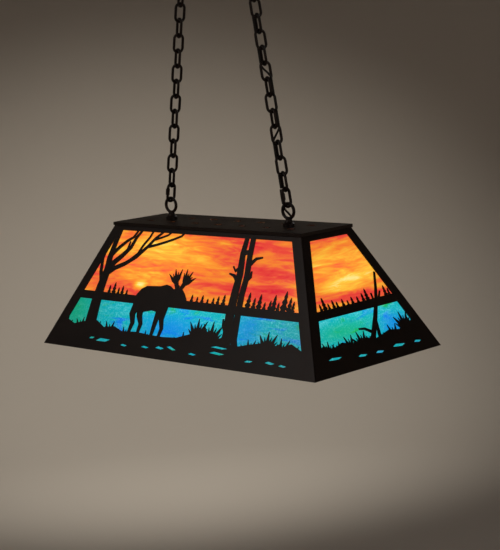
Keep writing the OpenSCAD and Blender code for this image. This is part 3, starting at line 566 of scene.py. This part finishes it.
class LAMP_OT_fit_lamps(bpy.types.Operator):
    """Finish the lamp holders, bulbs and wire connectors"""
    bl_idname = "lamp.fit_lamps"
    bl_label = "Fit Lamps"

    def execute(self, context):
        dress(BULBS, frosted_bulb())
        dress(SOCKETS, moulded("Lamp Holder", (0.72, 0.68, 0.58), (0.55, 0.5, 0.4), 0.4))
        dress(("canopy_wire_nuts", "shade_wire_nuts"),
              moulded("Wire Connector", (0.75, 0.2, 0.02), (0.6, 0.14, 0.015), 0.45))
        return {"FINISHED"}


# The right chain's own frame: its top contact, slope and turn, as the solids have them
CHAIN_TILT = math.radians(8.8)
CHAIN_TURN = math.radians(-25.0)
LOOP_X = 0.1425
LOWER_CONTACT = 0.03625             # from the plate up to where the quick link hangs
CHAIN_LENGTH = 0.405
TOP_X = LOOP_X - CHAIN_LENGTH * math.sin(CHAIN_TILT)
TOP_Z = SHADE_TOP + LOWER_CONTACT + CHAIN_LENGTH * math.cos(CHAIN_TILT)

# cord routes in millimetres, repeated from the solids: down the chain and out in the links' two
# planes beside the chain and the upper link, x, y, z from the loop or the canopy elsewhere
GROOVE = 5.3
CHAIN_ROUTE = [
    (375, -6, -5), (366, -5.5, -5.3), (352, -GROOVE, -GROOVE), (338, -GROOVE, -GROOVE),
    (324, -GROOVE, -GROOVE), (310, -GROOVE, -GROOVE), (300, -5.4, -5.3), (294, -5.3, -4.8),
    (289, -4.6, -2.4), (283.5, 0, 0), (278, 4.6, 2.4), (273, 5.3, 4.8), (267, 5.4, 5.3),
    (254, GROOVE, GROOVE), (240, GROOVE, GROOVE), (226, GROOVE, GROOVE), (212, GROOVE, GROOVE),
    (198, GROOVE, GROOVE), (192, 5.4, 5.3), (186, 5.3, 4.8), (181, 4.6, 2.4), (175.5, 0, 0),
    (170, -4.6, -2.4), (165, -5.3, -4.8), (159, -5.4, -5.3), (146, -GROOVE, -GROOVE),
    (132, -GROOVE, -GROOVE), (118, -GROOVE, -GROOVE), (104, -GROOVE, -GROOVE), (90, -GROOVE, -GROOVE),
    (76, -GROOVE, -GROOVE), (62, -GROOVE, -GROOVE), (48, -GROOVE, -GROOVE), (38, -5.6, -5.3),
    (30.4, -6, -5.5)]
UPPER_LINK_ROUTE = [(28.5, -6, -5.5), (20, -6.2, -5.6), (11, -6.4, -5.8), (3.9, -7, -6.5)]
CANOPY_ROUTE = [(-7, -5.6, -63.6), (-7.4, -6.2, -56), (-9, -8.5, -46), (-12.6, -12.6, -38.5),
                (-14, -14, -32), (-14, -14, -20), (-14, -9, -14.5), (-14, 4, -11)]
SHADE_ROUTE = [(5, -24, -27.5), (10, -23.5, -27.5), (15, -19, -27), (15, -11, -25.5), (9, -4, -23),
               (3, -0.6, -19.6), (0, 0, -15), (0, 0, -6), (0, 0, 1.5), (0, 0.7, 4.6), (0, 2.6, 7.2),
               (0, 5.2, 9.8), (-0.4, 7.5, 13.2), (-1.4, 7, 17.2), (-3, 4.2, 21.5), (-4.2, 0, 26),
               (-5.2, -3.6, 31), (-6, -5, 35.9)]
QUICK_ROUTE = [(-6.1, -5.1, 38.2), (-6.4, -5.4, 46), (-6.6, -5.2, 55), (-6.8, -4.4, 63.4)]
QUICK_FOOT = 36                     # millimetres above the plate, where the route starts to lean

JACKET_INSET = 0.00008              # the middle of the jacket's ribs lies this far inside the solid
JACKET_RIB = 0.00007                # how far the ribs rise and fall from there


def chain_point(along, a, b):
    """A point beside the right chain, in metres, from its place in the links' own planes."""
    x = a * math.cos(CHAIN_TURN) - b * math.sin(CHAIN_TURN)
    y = a * math.sin(CHAIN_TURN) + b * math.cos(CHAIN_TURN)
    return Vector((TOP_X + (x * math.cos(CHAIN_TILT) + along * math.sin(CHAIN_TILT)) / 1000,
                   y / 1000,
                   TOP_Z + (x * math.sin(CHAIN_TILT) - along * math.cos(CHAIN_TILT)) / 1000))


def cord_jacket():
    cord = bpy.context.scene.lamp_cord
    return moulded("Cord Jacket", cord.jacket, [c * 0.6 for c in cord.jacket], 0.5, 0.0005)


class LAMP_OT_thread_cord(bpy.types.Operator):
    """Thread the supply cord through the right loop and chain"""
    bl_idname = "lamp.thread_cord"
    bl_label = "Thread Cord"

    def execute(self, context):
        radius = context.scene.lamp_cord.diameter / 2 - JACKET_INSET
        jacket = cord_jacket()
        lean = math.tan(CHAIN_TILT)
        loop = Vector((LOOP_X, 0.0, SHADE_TOP))
        canopy = Vector((TOP_X, 0.0, 0.0))
        stretches = {
            "cord_shade": ("shade", [loop + Vector(q) / 1000 for q in SHADE_ROUTE]),
            "cord_quick_link": ("right_quick_link", [
                loop + Vector((x - (z - QUICK_FOOT) * lean, y, z)) / 1000 for x, y, z in QUICK_ROUTE]),
            "cord_chain": ("right_chain", [chain_point(*q) for q in CHAIN_ROUTE]),
            "cord_upper_link": ("upper_links", [chain_point(*q) for q in UPPER_LINK_ROUTE]),
            "cord_canopy": ("canopy", [canopy + Vector(q) / 1000 for q in CANOPY_ROUTE]),
        }
        for node, (body, points) in stretches.items():
            piece = tube("jacket_" + node, smooth_path(points, 10), radius, rib=JACKET_RIB)
            piece.data.materials.append(jacket)
            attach(piece, body)
            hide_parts(node)
        dress(["cord_bushing", "inner_wires"], jacket)
        return {"FINISHED"}


# ---- stage ----

CAMERA_PLACE = (1.9237, -1.9897, -0.1667)
CAMERA_TARGET = (0.0240, 0.0227, -0.5926)
CAMERA_LENS = 103.5
CAMERA_ROLL = math.radians(-3.02)

FLOOR_Z = -1.75
FLOOR_RADIUS = 3.2
SWEEP_RADIUS = 1.2
WALL_TOP = 7.0
SPOKES = 72

WASH_TURN = math.radians(139)        # the main wash light stands behind the lamp, seen from the camera
WASH_SHARES = (1.0, 0.3, 0.3, 0.3)


def stage_material():
    material, tree, shader, place = new_material("Studio Paper")
    cloud = tree.noise(place, 0.5, 2.0)
    pale = bpy.context.scene.lamp_stage.backdrop
    tree.feed(shader.inputs["Base Color"], tree.mix(cloud, pale, [c * 0.94 for c in pale]))
    shader.inputs["Roughness"].default_value = 0.9
    return material


def turned_to(place, target):
    """The turn that points a camera or light at place towards target."""
    return (Vector(target) - Vector(place)).to_track_quat("-Z", "Y")


def add_light(name, kind, place, target, power, tint, **settings):
    data = bpy.data.lights.new(name, kind)
    data.energy = power
    data.color = tint
    for key, value in settings.items():
        setattr(data, key, value)
    light = link_object(name, data)
    light.location = place
    light.rotation_euler = turned_to(place, target).to_euler()
    return light


def wash_light(name, turn, power):
    """A hidden spot well outside the lamp that lights a soft round pool where floor and backdrop meet."""
    out = Vector((math.cos(turn), math.sin(turn), 0.0))
    light = add_light(name, "SPOT", out * 1.5 + Vector((0, 0, 0.5)), out * 3.7 + Vector((0, 0, FLOOR_Z)),
                      power, (1.0, 0.95, 0.84), spot_size=math.radians(74), spot_blend=1.0,
                      shadow_soft_size=0.1)
    light.visible_camera = False


def set_camera(scene):
    lens = bpy.data.cameras.new("Camera")
    lens.lens = CAMERA_LENS
    lens.sensor_width = 36.0
    lens.clip_end = 60.0
    camera = link_object("Camera", lens)
    aim = turned_to(CAMERA_PLACE, CAMERA_TARGET).to_matrix().to_4x4()
    roll = Matrix.Rotation(CAMERA_ROLL, 4, "Z")
    camera.matrix_world = Matrix.Translation(CAMERA_PLACE) @ aim @ roll
    scene.camera = camera


def studio_floor():
    """A floor and, well beyond the lamp, a round wall that rises from it in one sweep."""
    arc = [math.radians(9 * k) for k in range(1, 11)]
    profile = [(2.0, 0.0), (FLOOR_RADIUS, 0.0)]
    profile += [(FLOOR_RADIUS + SWEEP_RADIUS * math.sin(a), SWEEP_RADIUS * (1 - math.cos(a))) for a in arc]
    profile += [(FLOOR_RADIUS + SWEEP_RADIUS, WALL_TOP)]
    mesh = bpy.data.meshes.new("studio_floor")
    shape = bmesh.new()
    turns = [2 * math.pi * j / SPOKES for j in range(SPOKES)]
    rings = [[shape.verts.new((r * math.cos(a), r * math.sin(a), FLOOR_Z + z)) for a in turns]
             for r, z in profile]
    for low, high in zip(rings, rings[1:]):
        for j in range(SPOKES):
            shape.faces.new((low[j], high[j], high[(j + 1) % SPOKES], low[(j + 1) % SPOKES]))
    shape.faces.new(rings[0])
    shape.to_mesh(mesh)
    shape.free()
    mesh.shade_smooth()
    mesh.materials.append(stage_material())
    link_object("studio_floor", mesh)


def light_stage(scene):
    power = scene.lamp_stage.key_power
    for name, place, target, size, share, tint in (
            ("Key", (-1.2, -2.6, 1.0), (0, 0, -0.5), 1.8, 1.0, (1.0, 0.96, 0.92)),
            ("Fill", (2.8, -0.6, 0.3), (0, 0, -0.5), 1.6, 0.4, (1.0, 0.93, 0.88)),
            ("Rim", (-0.6, 2.6, 0.9), (0, 0, -0.4), 1.4, 0.5, (1.0, 0.95, 0.9))):
        add_light(name, "AREA", place, target, power * share, tint, shape="DISK", size=size)
    for k, share in enumerate(WASH_SHARES):
        wash_light(f"Wash {k}", WASH_TURN + math.radians(90 * k), scene.lamp_stage.wash_power * share)
    world = bpy.data.worlds.new("Studio")
    world.use_nodes = True
    background = world.node_tree.nodes["Background"].inputs
    background["Color"].default_value = (0.9, 0.87, 0.84, 1.0)
    background["Strength"].default_value = 0.025
    scene.world = world


class LAMP_OT_set_stage(bpy.types.Operator):
    """Set the camera, floor, backdrop and lights"""
    bl_idname = "lamp.set_stage"
    bl_label = "Set Stage"

    def execute(self, context):
        set_camera(context.scene)
        studio_floor()
        light_stage(context.scene)
        context.scene.view_settings.view_transform = "Standard"
        return {"FINISHED"}


class LAMP_PT_panel(bpy.types.Panel):
    """Build the lamp's looks step by step"""
    bl_label = "Pool Table Lamp"
    bl_idname = "LAMP_PT_panel"
    bl_space_type = "VIEW_3D"
    bl_region_type = "UI"
    bl_category = "Lamp"

    def draw(self, context):
        for group in (context.scene.lamp_steel, context.scene.lamp_glass, context.scene.lamp_cord,
                      context.scene.lamp_stage):
            box = self.layout.box()
            box.label(text=group.__doc__ or "")
            for name in group.__annotations__:
                box.prop(group, name)
        for step in STEPS:
            self.layout.operator(step.bl_idname)


STEPS = (LAMP_OT_set_stage, LAMP_OT_thread_cord, LAMP_OT_coat_steel, LAMP_OT_coat_panels,
         LAMP_OT_plate_hardware, LAMP_OT_pour_glass, LAMP_OT_fit_lamps)
GROUPS = {"lamp_steel": LampSteel, "lamp_glass": LampGlass, "lamp_cord": LampCord,
          "lamp_stage": LampStage}


def register():
    for group in GROUPS.values():
        bpy.utils.register_class(group)
    for name, group in GROUPS.items():
        setattr(bpy.types.Scene, name, bpy.props.PointerProperty(type=group))
    for step in (*STEPS, LAMP_PT_panel):
        bpy.utils.register_class(step)


def unregister():
    for step in reversed((*STEPS, LAMP_PT_panel)):
        bpy.utils.unregister_class(step)
    for name, group in GROUPS.items():
        delattr(bpy.types.Scene, name)
        bpy.utils.unregister_class(group)


def main():
    register()
    for step in STEPS:
        family, action = step.bl_idname.split(".")
        getattr(getattr(bpy.ops, family), action)()


if __name__ == "__main__":
    main()
